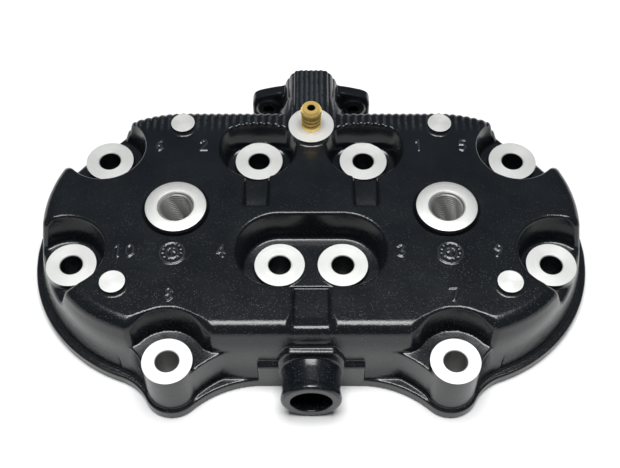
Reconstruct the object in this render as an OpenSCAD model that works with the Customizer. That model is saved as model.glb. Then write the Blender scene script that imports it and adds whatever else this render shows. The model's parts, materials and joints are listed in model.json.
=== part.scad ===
// Liquid-cooled cylinder head for a twin-cylinder two-stroke engine.
// A cast cover with a water jacket clamps two separate combustion domes onto the cylinders.
// X runs along the crankshaft, +Y points to the thermostat side and +Z up, away from the cylinders.
// The origin is on the deck plane, midway between the two cylinder axes.

/* [Head] */
// Distance between the two cylinder axes
bore_spacing = 110; // [108:0.5:114]
// Radius of the flange round each cylinder axis
flange_r = 63; // [62:0.5:66]
// Height of the flange
flange_h = 5; // [4:0.5:6]
// Radius of the side wall where it meets the flange
wall_foot_r = 60; // [59:0.5:61]
// Radius of the side wall where the top shoulder starts
wall_top_r = 54.6; // [54:0.2:56]
// Height of the flat top above the deck
top_h = 37.5; // [36:0.5:40]
// Height of the rounded shoulder below the top
shoulder_h = 4.5; // [3:0.5:6]
// Distance from a cylinder axis to the straight front edge of the flange
front_edge = 61; // [60:0.5:62]

/* [Head bolts] */
// Diameter of the holes for M8 head bolts
bolt_hole_d = 9; // [8.4:0.1:9.4]
// Diameter of the machined face under a bolt's head
bolt_face_d = 20.3; // [18:0.1:21]
// Height of the bolt faces above the deck
bolt_face_h = 26; // [24:0.5:28]
// Radius of the pocket round a bolt, at the top
pocket_r = 17.3; // [16.5:0.1:17.5]

/* [Combustion domes] */
// Cylinder bore that a dome covers
bore_d = 64; // [60:0.5:64.5]
// Outside radius of a dome's flange
dome_r = 36.8; // [36.6:0.1:37.2]
// Radius of the threaded neck that shows through the top
neck_r = 12.55; // [12:0.05:12.8]
// Height of the spark plug seat above the deck
plug_seat_h = 39.5; // [39:0.5:41]
// Radius of the spherical combustion chamber
bowl_r = 21.2; // [20:0.1:22]

/* [Front port] */
// Outside diameter of the coolant tube
port_d = 24; // [22:0.5:24]
// Inside diameter of the coolant tube
port_bore_d = 15.8; // [12:0.2:17]
// Height of the tube's axis above the deck
port_h = 12.5; // [12.5:0.5:13]
// Distance of the tube's end in front of the cylinder axes
port_reach = 74.4; // [70:0.2:80]

/* [Thermostat housing] */
// Height of the housing's axis above the deck
housing_h = 17.5; // [17:0.5:18]
// Half the width of the housing, at its axis
housing_r = 14; // [13.8:0.1:14.6]
// Distance of the cover face behind the cylinder axes
cover_face = 77; // [75:0.5:80]
// Distance between the two cover screw holes
cover_screw_spacing = 38.8; // [38:0.2:39]
// How far the thermostat valve opens
valve_lift = 7; // [4:0.5:7.5]

/* [Bleed nipple] */
// Diameter of the machined boss under the nipple
bleed_boss_d = 19.4; // [16:0.2:20]
// Height of the boss above the deck
bleed_boss_h = 39.5; // [38.5:0.5:40]
// Height of the barbed nipple above its boss
nipple_h = 11.2; // [10:0.2:16]

/* [Hidden] */
axis_x = bore_spacing / 2;
bolt_r = bolt_hole_d / 2;
bore_r = bore_d / 2;
// Head bolts of the right-hand cylinder, from its own axis: back outer, back inner, side outer, side inner
jacket_bolts = [[32.4, 34.2], [-32.4, 34.2], [42.2, -19.7], [-42.2, -19.7]];
// The front bolt stands outside the water jacket
front_bolt = [0, -63.6];
column_r = 9.2;         // bolt column through the water jacket
front_column_r = 10;
front_lip_r = 11.5;
web_r = 57;             // side wall's radius at the web of the front bolt's column
pocket_floor_h = 24;
pocket_floor_r = 15;
pocket_wall = 4.5;
pocket_back = 46.5;     // where the two inner back pockets end, short of the shoulder
inner_pocket_end = 45;
roof_h = 31.5;          // underside of the top
jacket_foot_r = 52.5;   // water jacket round each axis, at the deck
jacket_top_r = 48.5;
neck_clearance = 0.4;
neck_bore_r = neck_r + neck_clearance;
shoulder_seat_h = 27;   // where the cover bears on a dome
shoulder_seat_r = 16.5;
machining_pad_r = 5;
machining_pad_h = 40;
machining_pads = [[0, 44], [21.7, -36.5]];    // from a cylinder axis
pad_root = 4.5;
seal_line_r = 57;       // middle of the deck seal's groove
seal_groove_w = 3.2;
seal_groove_depth = 2.2;
seal_w = 2.8;
bolt_oring_line_r = 6.15;
bolt_oring_cord = 2;
bolt_oring_groove_w = 2.3;
bolt_oring_groove_depth = 1.6;
bore_oring_line_r = 34.6;
bore_oring_cord = 2;
bore_oring_groove_w = 2.2;
bore_oring_groove_depth = 1.6;
neck_oring_h = 31.5;
neck_oring_cord = 2.2;
neck_groove_w = 2.6;
neck_groove_depth = 1.7;
plug_minor_r = 6.33;    // M14 x 1.25 tapped hole
plug_chamfer = 1.25;
nipple_thread_r = 4;
nipple_thread_len = 9.5;
nipple_bore_r = 1.7;
housing_bore_r = 11.8;
recess_r = 14;
recess_depth = 3.2;
cover_screw_h = 18;
cover_screw_r = 2.5;    // M6 tapped hole
cover_screw_depth = 15;
ear_margin = 7.5;       // from a cover screw to the ear's outer edge
ear_corner_r = 4.4;
ear_t = 9;
cut = 1;                // how far a cutting shape runs past a face
turn = 96;              // sides of a full turn in OpenSCAD's own preview
$fn = turn;

// Thermostat, along its own axis from the middle of its plate towards the cover
plate_y = cover_face - 1.55;
plate_r = 12.6;
plate_t = 1.2;
seat_r = 8;
valve_r = 8.8;
valve_t = 1;
valve_gap = 0.1;
capsule_r = 5;
capsule_len = 16;
capsule_neck_r = 3.2;
capsule_neck_len = 6;
piston_r = 1.25;
piston_clearance = 0.05;
strap_w = 6;
strap_t = 1.2;
bridge_x = 10.6;
bridge_h = 9.8;
cage_len = 16.6;
cage_x = 10.8;
spring_wire_r = 0.6;
spring_r = 7;
spring_turns = 4.5;
seal_ring_lip = 12.05;
jiggle_line_r = 10.5;
jiggle_hole_r = 1;
jiggle_pin_r = 0.6;
jiggle_head_r = 1.2;
jiggle_head_t = 0.8;
jiggle_play = 1.4;

BOLT_ORINGS = ["back_outer", "back_inner", "side_outer", "side_inner"];
SIDES = ["left", "right"];

casting_colour = [0.09, 0.1, 0.11];
machined_colour = [0.83, 0.84, 0.85];
brass_colour = [0.79, 0.62, 0.25];
rubber_colour = [0.05, 0.05, 0.05];
steel_colour = [0.6, 0.61, 0.63];
stainless_colour = [0.72, 0.7, 0.66];

function side_sign(side) = side == "left" ? -1 : 1;
function arc(centre, r, from, to, steps, first = 0) =
    [for (i = [first:steps]) let (a = from + (to - from) * i / steps) centre + r * [cos(a), sin(a)]];
function bearing(from, to) = atan2(to[1] - from[1], to[0] - from[0]);
// Centre of a concave fillet of radius rf that touches circle a from outside and circle b from outside
function fillet_centre(a, ra, b, rb, rf) =
    let (
        d = norm(b - a),
        u = (b - a) / d,
        along = (pow(ra + rf, 2) - pow(rb + rf, 2) + d * d) / (2 * d),
        across = sqrt(pow(ra + rf, 2) - along * along)
    ) a + along * u + across * [-u[1], u[0]];

// Front stretch of the right half of the plan outline: a hollow curve, the front bolt's lip, a hollow curve
function front_outline(end_r, lip_r, edge, outer_fillet, inner_fillet) =
    let (
        end = [axis_x, 0],
        bolt = end + front_bolt,
        outer = fillet_centre(end, end_r, bolt, lip_r, outer_fillet),
        inner_y = -edge - inner_fillet,
        inner = [bolt[0] - sqrt(pow(lip_r + inner_fillet, 2) - pow(bolt[1] - inner_y, 2)), inner_y],
        leave_lip = bearing(bolt, inner),
        meet_lip = bearing(bolt, outer),
        meet_end = bearing(end, outer)
    ) concat(
        arc(inner, inner_fillet, 90, leave_lip + 180, 10),
        arc(bolt, lip_r, leave_lip, meet_lip, 12, 1),
        arc(outer, outer_fillet, meet_lip + 180, meet_end + 180, 8, 1)
    );
function mirrored(points) = [for (i = [len(points) - 1:-1:0]) [-points[i][0], points[i][1]]];

module both_sides() {
    for (s = [-1, 1]) scale_x(s) children();
}

module scale_x(s) {
    if (s < 0) mirror([1, 0, 0]) children();
    else children();
}

module at_jacket_bolts() {
    both_sides() for (p = jacket_bolts) translate([axis_x + p[0], p[1], 0]) children();
}

module at_front_bolts() {
    both_sides() translate([axis_x + front_bolt[0], front_bolt[1], 0]) children();
}

module flange_shape() {
    front = front_outline(flange_r, front_lip_r, front_edge, 20, 40);
    last = front[len(front) - 1] - [axis_x, 0];
    right = concat(front, arc([axis_x, 0], flange_r, atan2(last[1], last[0]), 90, 28, 1));
    polygon(concat(right, mirrored(right)));
}

// Web that carries the front bolt's column on the side wall
module web_shape() {
    front = front_outline(web_r, front_column_r, web_r - 1.5, 21, 40);
    polygon(concat(front, [[axis_x + 12, -40], [axis_x - 20, -40]]));
}

// A racetrack-shaped solid: the same half profile turned round both axes and run between them
module racetrack(profile) {
    both_sides() translate([axis_x, 0, 0]) rotate_extrude() polygon(profile);
    rotate([90, 0, 90])
        linear_extrude(bore_spacing, center = true)
            polygon(concat(profile, mirrored(profile)));
}

module racetrack_ring(line_r, w, h) {
    difference() {
        racetrack([[0, 0], [line_r + w / 2, 0], [line_r + w / 2, h], [0, h]]);
        translate([0, 0, -cut])
            racetrack([[0, 0], [line_r - w / 2, 0], [line_r - w / 2, h + 2 * cut], [0, h + 2 * cut]]);
    }
}

module ring(line_r, w, h) {
    rotate_extrude() translate([line_r - w / 2, 0]) square([w, h]);
}

module oring(line_r, cord) {
    rotate_extrude() translate([line_r, 0]) circle(cord / 2, $fn = 24);
}

// Along +Y, starting at distance y from the cylinder axes
module along_y(x, y, z) {
    translate([x, y, z]) rotate([-90, 0, 0]) children();
}

/* Casting */

module casting_body() {
    linear_extrude(flange_h) flange_shape();
    both_sides() linear_extrude(pocket_floor_h) web_shape();
    racetrack([
        [0, 0], [wall_foot_r, 0], [wall_foot_r, flange_h],
        [wall_top_r, top_h - shoulder_h], [wall_top_r - 1.2, top_h - 1.6],
        [wall_top_r - 4.2, top_h], [0, top_h]
    ]);
    at_front_bolts() cylinder(r = front_column_r, h = bolt_face_h);
    housing_body();
    port_body();
}

module housing_body() {
    crest_w = 14;
    crest_h = top_h + 0.7;
    root_y = 30;
    hump = [
        [crest_w / 2, crest_h], [crest_w / 2 + 1.5, crest_h - 2], [housing_r - 2.5, housing_h + 11.1],
        [housing_r, housing_h], [housing_r - 2, housing_h - 9.5], [crest_w / 2 + 1, 0.5]
    ];
    translate([0, cover_face, 0]) rotate([90, 0, 0]) linear_extrude(cover_face - root_y)
        polygon(concat(hump, mirrored(hump)));
    corner_x = cover_screw_spacing / 2 + ear_margin - ear_corner_r;
    ear = concat(
        [[0, 29], [12, 28.4]], arc([corner_x, 19.5], ear_corner_r, 70, 0, 4),
        arc([corner_x, 12], ear_corner_r, 0, -70, 4), [[12, 6.8], [0, 6]]
    );
    translate([0, cover_face, 0]) rotate([90, 0, 0]) linear_extrude(ear_t)
        polygon(concat(ear, mirrored(ear)));
}

module port_body() {
    collar_y = front_edge;
    collar_depth = 14;
    collar = [[13, 5], [13, 22], [9.6, 29], [-9.6, 29], [-13, 22], [-13, 5]];
    translate([0, -collar_y + collar_depth, 0]) rotate([90, 0, 0])
        linear_extrude(collar_depth) polygon(collar);
    plinth_w = 42;
    plinth = [[-front_edge, 0], [-front_edge, 14.7], [-front_edge + 2, 16.6], [-48, 17.5], [-48, 0]];
    rotate([90, 0, 90]) linear_extrude(plinth_w, center = true) polygon(plinth);
    along_y(0, -port_reach, port_h) cylinder(d = port_d, h = port_reach - 50);
}

// Everything cast into the top: pockets round the bolts and the shallow channels in front of them
module pockets() {
    pocket_depth = top_h - pocket_floor_h + cut;
    difference() {
        union() {
            difference() {
                at_jacket_bolts() translate([0, 0, pocket_floor_h])
                    cylinder(r1 = pocket_floor_r, r2 = pocket_r, h = pocket_depth);
                translate([-inner_pocket_end, pocket_back, 0])
                    cube([2 * inner_pocket_end, pocket_r, top_h + 2 * cut]);
            }
            at_front_bolts() translate([0, 0, pocket_floor_h])
                cylinder(r1 = pocket_floor_r - 0.5, r2 = pocket_r - 0.8, h = pocket_depth);
            inner_x = axis_x + jacket_bolts[3][0];
            translate([-inner_x, jacket_bolts[3][1] - pocket_floor_r, pocket_floor_h])
                cube([2 * inner_x, 2 * pocket_floor_r, pocket_depth]);
        }
        at_jacket_bolts() cylinder(d = bolt_face_d, h = bolt_face_h);
        at_front_bolts() cylinder(r = front_column_r, h = bolt_face_h);
    }
    channel_w = 11;
    channel = [[1, top_h - 4], [22, top_h - 3], [22, top_h + cut], [1, top_h + cut]];
    for (x = [-22.9, 22.9]) translate([x, 0, 0]) rotate([90, 0, 90])
        linear_extrude(channel_w, center = true) polygon(channel);
    translate([-7.6, -58, top_h - 2.8]) cube([15.2, 22, 2.8 + cut]);
}

// Hollow that the coolant fills, between the domes and the walls
module water_jacket() {
    difference() {
        racetrack([
            [0, -cut], [jacket_foot_r, -cut], [jacket_foot_r, 9], [jacket_top_r + 1, roof_h - 4],
            [jacket_top_r - 3, roof_h], [0, roof_h]
        ]);
        at_jacket_bolts() {
            translate([0, 0, -2 * cut]) cylinder(r = column_r, h = roof_h + 3 * cut);
            translate([0, 0, pocket_floor_h - pocket_wall])
                cylinder(r = pocket_r + pocket_wall, h = roof_h);
        }
        at_front_bolts() translate([0, 0, pocket_floor_h - pocket_wall])
            cylinder(r = pocket_r + pocket_wall - 0.8, h = roof_h);
        inner_x = axis_x + jacket_bolts[3][0];
        translate([-inner_x, jacket_bolts[3][1] - pocket_r - pocket_wall, pocket_floor_h - pocket_wall])
            cube([2 * inner_x, 2 * (pocket_r + pocket_wall), roof_h]);
        both_sides() translate([axis_x, 0, shoulder_seat_h]) cylinder(r = shoulder_seat_r + 1, h = roof_h);
        translate([0, jacket_bolts[0][1] + 9, roof_h - 3.5]) cylinder(d = bleed_boss_d, h = 6);
    }
}

module head_casting() {
    bleed_y = jacket_bolts[0][1] + 9;
    color(casting_colour)
    difference() {
        union() {
            difference() {
                casting_body();
                pockets();
                water_jacket();
            }
            at_jacket_bolts() cylinder(r = column_r, h = pocket_floor_h);
            both_sides() {
                for (p = machining_pads) translate([axis_x + p[0], p[1], top_h - pad_root])
                    cylinder(r = machining_pad_r, h = machining_pad_h - top_h + pad_root);
            }
            translate([0, bleed_y, top_h - 6]) cylinder(d = bleed_boss_d, h = bleed_boss_h - top_h + 6);
        }
        // head bolt holes, chamfered at the top, with a groove for the O-ring at each jacket bolt's foot
        at_jacket_bolts() {
            bolt_hole();
            translate([0, 0, -cut])
                ring(bolt_oring_line_r, bolt_oring_groove_w, bolt_oring_groove_depth + cut);
        }
        at_front_bolts() bolt_hole();
        // bores for the necks of the two domes
        both_sides() translate([axis_x, 0, 0]) {
            translate([0, 0, shoulder_seat_h - cut])
                cylinder(r = neck_bore_r, h = plug_seat_h - shoulder_seat_h);
            translate([0, 0, top_h - 0.7]) cylinder(r1 = neck_bore_r, r2 = neck_bore_r + 1.7, h = 1.7);
        }
        translate([0, 0, -cut]) racetrack_ring(seal_line_r, seal_groove_w, seal_groove_depth + cut);
        // coolant passages
        along_y(0, -port_reach - cut, port_h) cylinder(d = port_bore_d, h = port_reach - 45);
        along_y(0, 44, housing_h) cylinder(r = housing_bore_r, h = cover_face - 44 + cut);
        along_y(0, cover_face - recess_depth, housing_h) cylinder(r = recess_r, h = recess_depth + cut);
        for (s = [-1, 1])
            along_y(s * cover_screw_spacing / 2, cover_face - cover_screw_depth, cover_screw_h)
                cylinder(r = cover_screw_r, h = cover_screw_depth + cut);
        translate([0, bleed_y, roof_h - 5]) cylinder(r = nipple_thread_r + 0.02, h = bleed_boss_h);
    }
}

module bolt_hole() {
    chamfer = 0.35;
    translate([0, 0, -cut]) cylinder(r = bolt_r, h = bolt_face_h + 2 * cut);
    translate([0, 0, bolt_face_h - chamfer])
        cylinder(r1 = bolt_r, r2 = bolt_r + 2 * chamfer, h = 2 * chamfer);
}

/* Combustion domes */

module dome(side) {
    bowl_h = -0.5;          // height of the bowl's centre
    squish_r = 21;
    flange_t = 8.5;
    crown_r = 29;           // outside of the bowl's wall
    bowl_from = atan2(2.4 - bowl_h, squish_r);
    bowl_to = acos(plug_minor_r / bowl_r);
    crown_from = asin((flange_t - bowl_h) / crown_r);
    crown_to = acos(shoulder_seat_r / crown_r);
    groove_in = bore_oring_line_r - bore_oring_groove_w / 2;
    groove_out = bore_oring_line_r + bore_oring_groove_w / 2;
    groove_r = neck_r - neck_groove_depth;
    color(machined_colour)
    translate([side_sign(side) * axis_x, 0, 0])
    rotate_extrude()
    polygon(concat(
        [[groove_in, bore_oring_groove_depth], [groove_in, 0], [bore_r, 0]],
        arc([0, bowl_h], bowl_r, bowl_from, bowl_to, 12),
        [[plug_minor_r, plug_seat_h - plug_chamfer], [plug_minor_r + plug_chamfer, plug_seat_h],
         [neck_r - 0.5, plug_seat_h], [neck_r, plug_seat_h - 0.5],
         [neck_r, neck_oring_h + neck_groove_w / 2], [groove_r, neck_oring_h + neck_groove_w / 2],
         [groove_r, neck_oring_h - neck_groove_w / 2], [neck_r, neck_oring_h - neck_groove_w / 2],
         [neck_r, shoulder_seat_h], [shoulder_seat_r, shoulder_seat_h]],
        arc([0, bowl_h], crown_r, crown_to, crown_from, 8),
        [[dome_r, flange_t], [dome_r, 0], [groove_out, 0], [groove_out, bore_oring_groove_depth]]
    ));
}

module neck_oring(side) {
    inner_r = neck_r - neck_groove_depth;
    color(rubber_colour)
        translate([side_sign(side) * axis_x, 0, neck_oring_h])
            oring(inner_r + neck_oring_cord / 2 - 0.05, neck_oring_cord - 0.1);
}

module bore_oring(side) {
    color(rubber_colour)
        translate([side_sign(side) * axis_x, 0, bore_oring_groove_depth - bore_oring_cord / 2])
            difference() {
                oring(bore_oring_line_r, bore_oring_cord);
                flat_foot(bore_oring_line_r + bore_oring_cord, bore_oring_groove_depth - bore_oring_cord / 2);
            }
}

// Cuts an O-ring off level with the deck, as if squeezed flat against it
module flat_foot(r, deck_below) {
    translate([0, 0, -deck_below - r]) cylinder(r = r, h = r);
}

module deck_seal() {
    color(rubber_colour) racetrack_ring(seal_line_r, seal_w, seal_groove_depth);
}

module bolt_oring(side, place) {
    p = jacket_bolts[search([place], BOLT_ORINGS)[0]];
    color(rubber_colour)
        translate([side_sign(side) * (axis_x + p[0]), p[1], bolt_oring_groove_depth - bolt_oring_cord / 2])
            difference() {
                oring(bolt_oring_line_r, bolt_oring_cord);
                flat_foot(bolt_oring_line_r + bolt_oring_cord, bolt_oring_groove_depth - bolt_oring_cord / 2);
            }
}

/* Bleed nipple */

module bleed_nipple() {
    base_r = 4.2;
    waist_r = 3.4;
    barb_r = 4.6;
    color(brass_colour)
        translate([0, jacket_bolts[0][1] + 9, bleed_boss_h])
        rotate_extrude()
        polygon([
            [nipple_bore_r, -nipple_thread_len], [nipple_thread_r, -nipple_thread_len],
            [nipple_thread_r, 0], [base_r, 0], [base_r, nipple_h * 0.16],
            [waist_r, nipple_h * 0.2], [base_r, nipple_h * 0.36], [waist_r, nipple_h * 0.4],
            [base_r, nipple_h * 0.56], [waist_r, nipple_h * 0.6], [barb_r, nipple_h * 0.78],
            [barb_r, nipple_h * 0.86], [waist_r, nipple_h], [nipple_bore_r, nipple_h]
        ]);
}

/* Thermostat: its axis is the housing's, local Z points out towards the cover */

module on_thermostat_axis() {
    along_y(0, plate_y, housing_h) children();
}

module thermostat_plate() {
    color(stainless_colour) on_thermostat_axis() difference() {
        translate([0, 0, -plate_t / 2]) cylinder(r = plate_r, h = plate_t);
        translate([0, 0, -cut]) cylinder(r = seat_r, h = 2 * cut);
        // local Y points down, so the jiggle pin's hole is above the axis
        translate([0, -jiggle_line_r, -cut]) cylinder(r = jiggle_hole_r, h = 2 * cut, $fn = 32);
    }
}

module strap(outline) {
    rotate([90, 0, 0]) linear_extrude(strap_w, center = true) polygon(outline);
}

module thermostat_bridge() {
    foot = plate_t / 2;
    color(stainless_colour) on_thermostat_axis() difference() {
        strap([
            [-bridge_x, foot], [-bridge_x, bridge_h / 2], [-4, bridge_h], [4, bridge_h],
            [bridge_x, bridge_h / 2], [bridge_x, foot],
            [bridge_x - strap_t, foot], [bridge_x - strap_t, bridge_h / 2 - 0.5],
            [3.6, bridge_h - strap_t], [-3.6, bridge_h - strap_t],
            [-bridge_x + strap_t, bridge_h / 2 - 0.5], [-bridge_x + strap_t, foot]
        ]);
        cylinder(r = piston_r, h = bridge_h + cut, $fn = 32);
    }
}

module thermostat_cage() {
    foot = -plate_t / 2;
    ring_r = 8.4;
    color(stainless_colour) on_thermostat_axis() difference() {
        union() {
            for (s = [-1, 1]) scale_x(s) strap([
                [cage_x, foot], [cage_x - strap_t, foot], [cage_x - strap_t, -cage_len + strap_t],
                [0, -cage_len + strap_t], [0, -cage_len], [cage_x, -cage_len]
            ]);
            translate([0, 0, -cage_len]) cylinder(r = ring_r, h = strap_t);
        }
        translate([0, 0, -cage_len - cut]) cylinder(r = capsule_r + 0.35, h = strap_t + 2 * cut);
    }
}

module thermostat_valve() {
    top = -plate_t / 2 - valve_gap;
    color(stainless_colour) on_thermostat_axis() difference() {
        union() {
            translate([0, 0, top - valve_t]) cylinder(r = valve_r, h = valve_t);
            translate([0, 0, top - valve_t - 1.5]) cylinder(r = capsule_r + 0.9, h = 1.5 + valve_t / 2);
            translate([0, 0, top - cut / 2]) cylinder(r1 = seat_r - 0.6, r2 = capsule_r + 0.6, h = 1.4);
        }
        translate([0, 0, top - 4]) cylinder(r = capsule_r, h = 8);
    }
}

module thermostat_capsule() {
    top = -plate_t / 2 + 1;
    color(brass_colour) on_thermostat_axis() difference() {
        union() {
            translate([0, 0, top - capsule_len]) cylinder(r = capsule_r, h = capsule_len);
            cylinder(r = capsule_neck_r, h = capsule_neck_len);
        }
        translate([0, 0, -capsule_neck_len]) cylinder(r = piston_r + piston_clearance, h = 20, $fn = 32);
    }
}

module thermostat_piston() {
    color(steel_colour) on_thermostat_axis()
        translate([0, 0, -capsule_neck_len + 0.2])
            cylinder(r = piston_r, h = bridge_h + capsule_neck_len - 0.2, $fn = 32);
}

function spring_point(i, steps, z0, z1, side) =
    let (
        t = i / steps,
        turn_angle = 360 * spring_turns * t,
        wire = 360 * side / 8,
        r = spring_r + spring_wire_r * cos(wire)
    ) [r * cos(turn_angle), r * sin(turn_angle), z0 + (z1 - z0) * t + spring_wire_r * sin(wire)];

module thermostat_spring() {
    sides = 8;
    steps = 90;
    z0 = -cage_len + strap_t + spring_wire_r;
    z1 = -plate_t / 2 - valve_gap - valve_t - spring_wire_r;
    points = [for (i = [0:steps]) for (k = [0:sides - 1]) spring_point(i, steps, z0, z1, k)];
    walls = [for (i = [0:steps - 1]) for (k = [0:sides - 1])
        [i * sides + k, i * sides + (k + 1) % sides, (i + 1) * sides + (k + 1) % sides, (i + 1) * sides + k]];
    start = [for (k = [sides - 1:-1:0]) k];
    end = [for (k = [0:sides - 1]) steps * sides + k];
    color(steel_colour) on_thermostat_axis()
        polyhedron(points, concat(walls, [start], [end]), convexity = 10);
}

module thermostat_seal() {
    slack = 0.05;
    color(rubber_colour) on_thermostat_axis() rotate_extrude() difference() {
        translate([seal_ring_lip, -recess_depth / 2 + slack])
            square([recess_r - slack - seal_ring_lip, recess_depth - 2 * slack]);
        translate([0, -plate_t / 2]) square([plate_r, plate_t]);
    }
}

module thermostat_jiggle_pin() {
    low = -plate_t / 2 - jiggle_play - jiggle_head_t;
    color(brass_colour) on_thermostat_axis() translate([0, -jiggle_line_r, 0]) {
        translate([0, 0, low]) cylinder(r = jiggle_head_r, h = jiggle_head_t, $fn = 32);
        translate([0, 0, low]) cylinder(r = jiggle_pin_r, h = plate_t / 2 - low + 0.2, $fn = 32);
        translate([0, 0, plate_t / 2 + 0.1]) cylinder(r = jiggle_head_r, h = jiggle_head_t, $fn = 32);
    }
}

head_casting();
for (side = SIDES) {
    dome(side);
    neck_oring(side);
    bore_oring(side);
    for (place = BOLT_ORINGS)
        bolt_oring(side, place);
}
deck_seal();
bleed_nipple();
thermostat_plate();
thermostat_bridge();
thermostat_cage();
thermostat_valve();
thermostat_capsule();
thermostat_piston();
thermostat_spring();
thermostat_seal();
thermostat_jiggle_pin();
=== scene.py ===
import json
import math

import bpy
import numpy as np
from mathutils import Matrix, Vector


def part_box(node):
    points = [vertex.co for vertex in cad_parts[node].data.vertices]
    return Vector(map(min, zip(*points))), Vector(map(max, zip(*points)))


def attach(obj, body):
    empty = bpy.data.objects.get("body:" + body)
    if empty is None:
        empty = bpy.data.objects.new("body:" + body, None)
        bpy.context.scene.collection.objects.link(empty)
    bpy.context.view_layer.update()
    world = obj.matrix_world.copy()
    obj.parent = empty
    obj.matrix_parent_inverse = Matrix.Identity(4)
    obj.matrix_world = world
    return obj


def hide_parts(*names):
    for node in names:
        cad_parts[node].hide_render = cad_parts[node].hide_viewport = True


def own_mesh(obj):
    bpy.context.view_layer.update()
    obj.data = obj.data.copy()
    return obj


bpy.utils.expose_bundled_modules()
import openvdb

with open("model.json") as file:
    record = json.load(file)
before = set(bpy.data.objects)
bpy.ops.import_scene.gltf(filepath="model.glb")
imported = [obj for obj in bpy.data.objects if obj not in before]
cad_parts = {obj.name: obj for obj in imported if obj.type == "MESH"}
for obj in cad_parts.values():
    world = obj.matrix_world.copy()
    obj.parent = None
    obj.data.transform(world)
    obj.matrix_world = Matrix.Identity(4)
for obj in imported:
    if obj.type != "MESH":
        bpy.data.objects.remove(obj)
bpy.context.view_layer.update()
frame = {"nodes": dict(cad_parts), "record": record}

mm = 0.001  # lengths below are in millimetres, the scene is in metres


def boxOf(node):
    low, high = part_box(node)
    return np.array(low) / mm, np.array(high) / mm


def middleOf(node):
    low, high = boxOf(node)
    return (low + high) / 2


axisX = middleOf("right_dome")[0]  # the two cylinder axes stand at +axisX and -axisX
castLow, castHigh = boxOf("head_casting")
platePlace = middleOf("thermostat_plate")
housingHeight = platePlace[2]
bleedPlace = middleOf("bleed_nipple")
mounts = {mount["name"]: mount for mount in frame["record"]["mounts"]}
jacketBolts = [
    middleOf(f"right_{place}_bolt_oring")[:2]
    for place in ("back_outer", "back_inner", "side_outer", "side_inner")
]
frontBolt = np.array([axisX, mounts["front_bolts"]["pos_m"][1] / mm])
boltFace = mounts["front_bolts"]["pos_m"][2] / mm
boltHoleRadius = mounts["front_bolts"]["dims"]["hole_r_mm"]
tube = mounts["front_hose_tube"]
portHeight = tube["pos_m"][2] / mm
tubeTip = tube["pos_m"][1] / mm - tube["dims"]["length_mm"] / 2
coverScrewX = mounts["cover_screws"]["dims"]["spacing_x_mm"] / 2
coverScrewHeight = mounts["cover_screws"]["pos_m"][2] / mm
bleedThread = 9.5  # length of the nipple that is screwed in
bleedTop = boxOf("bleed_nipple")[0][2] + bleedThread


def meshObject(name, points, faces, finish=None):
    mesh = bpy.data.meshes.new(name)
    mesh.from_pydata([tuple(p) for p in points], [], [tuple(f) for f in faces])
    mesh.update()
    thing = bpy.data.objects.new(name, mesh)
    bpy.context.scene.collection.objects.link(thing)
    if finish:
        mesh.materials.append(finish)
    return thing


def smooth(thing, degrees=32):
    thing.data.shade_smooth()
    thing.data.set_sharp_from_angle(angle=math.radians(degrees))


# A profile of (radius, height) pairs turned round Z; a closed profile makes a ring
def turnedMesh(profile, steps, closed=False, wobble=None):
    angles = np.linspace(0, 2 * math.pi, steps, endpoint=False)
    rows = []
    for radius, height in profile:
        radii = np.full(steps, float(radius))
        if wobble is not None and radius > 0:
            radii = radii + wobble(radius, height, angles)
        level = np.full(steps, float(height))
        rows.append(np.stack([radii * np.cos(angles), radii * np.sin(angles), level], 1))
    points, starts = [], []
    for (radius, height), row in zip(profile, rows):
        starts.append(len(points))
        points.extend([(0.0, 0.0, float(height))] if radius == 0 else row.tolist())
    faces = []
    last = len(profile) if closed else len(profile) - 1
    for i in range(last):
        j = (i + 1) % len(profile)
        a, b = starts[i], starts[j]
        for k in range(steps):
            n = (k + 1) % steps
            if profile[i][0] == 0:
                faces.append((a, b + n, b + k))
            elif profile[j][0] == 0:
                faces.append((a + k, a + n, b))
            else:
                faces.append((a + k, a + n, b + n, b + k))
    return np.array(points), faces


# The same, turned round a line that runs front to back
def turnedAlongY(profile, steps):
    points, faces = turnedMesh(profile, steps)
    return points[:, [0, 2, 1]], [face[::-1] for face in faces]


class Stock:
    # several closed shapes gathered into one mesh
    def __init__(self):
        self.points, self.faces, self.count = [], [], 0

    def put(self, points, faces, place=(0, 0, 0)):
        self.points.append(np.asarray(points) + np.array(place, float))
        self.faces.extend([tuple(i + self.count for i in face) for face in faces])
        self.count += len(points)

    def build(self, name):
        return meshObject(name, np.concatenate(self.points) * mm, self.faces)


def cutAway(thing, cutter):
    change = thing.modifiers.new("machining", "BOOLEAN")
    change.operation = "DIFFERENCE"
    change.solver = "MANIFOLD"
    change.object = cutter
    applyModifiers(thing)
    bpy.data.objects.remove(cutter)


def applyModifiers(thing):
    graph = bpy.context.evaluated_depsgraph_get()
    mesh = bpy.data.meshes.new_from_object(thing.evaluated_get(graph))
    old = thing.data
    thing.modifiers.clear()
    thing.data = mesh
    bpy.data.meshes.remove(old)


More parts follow.
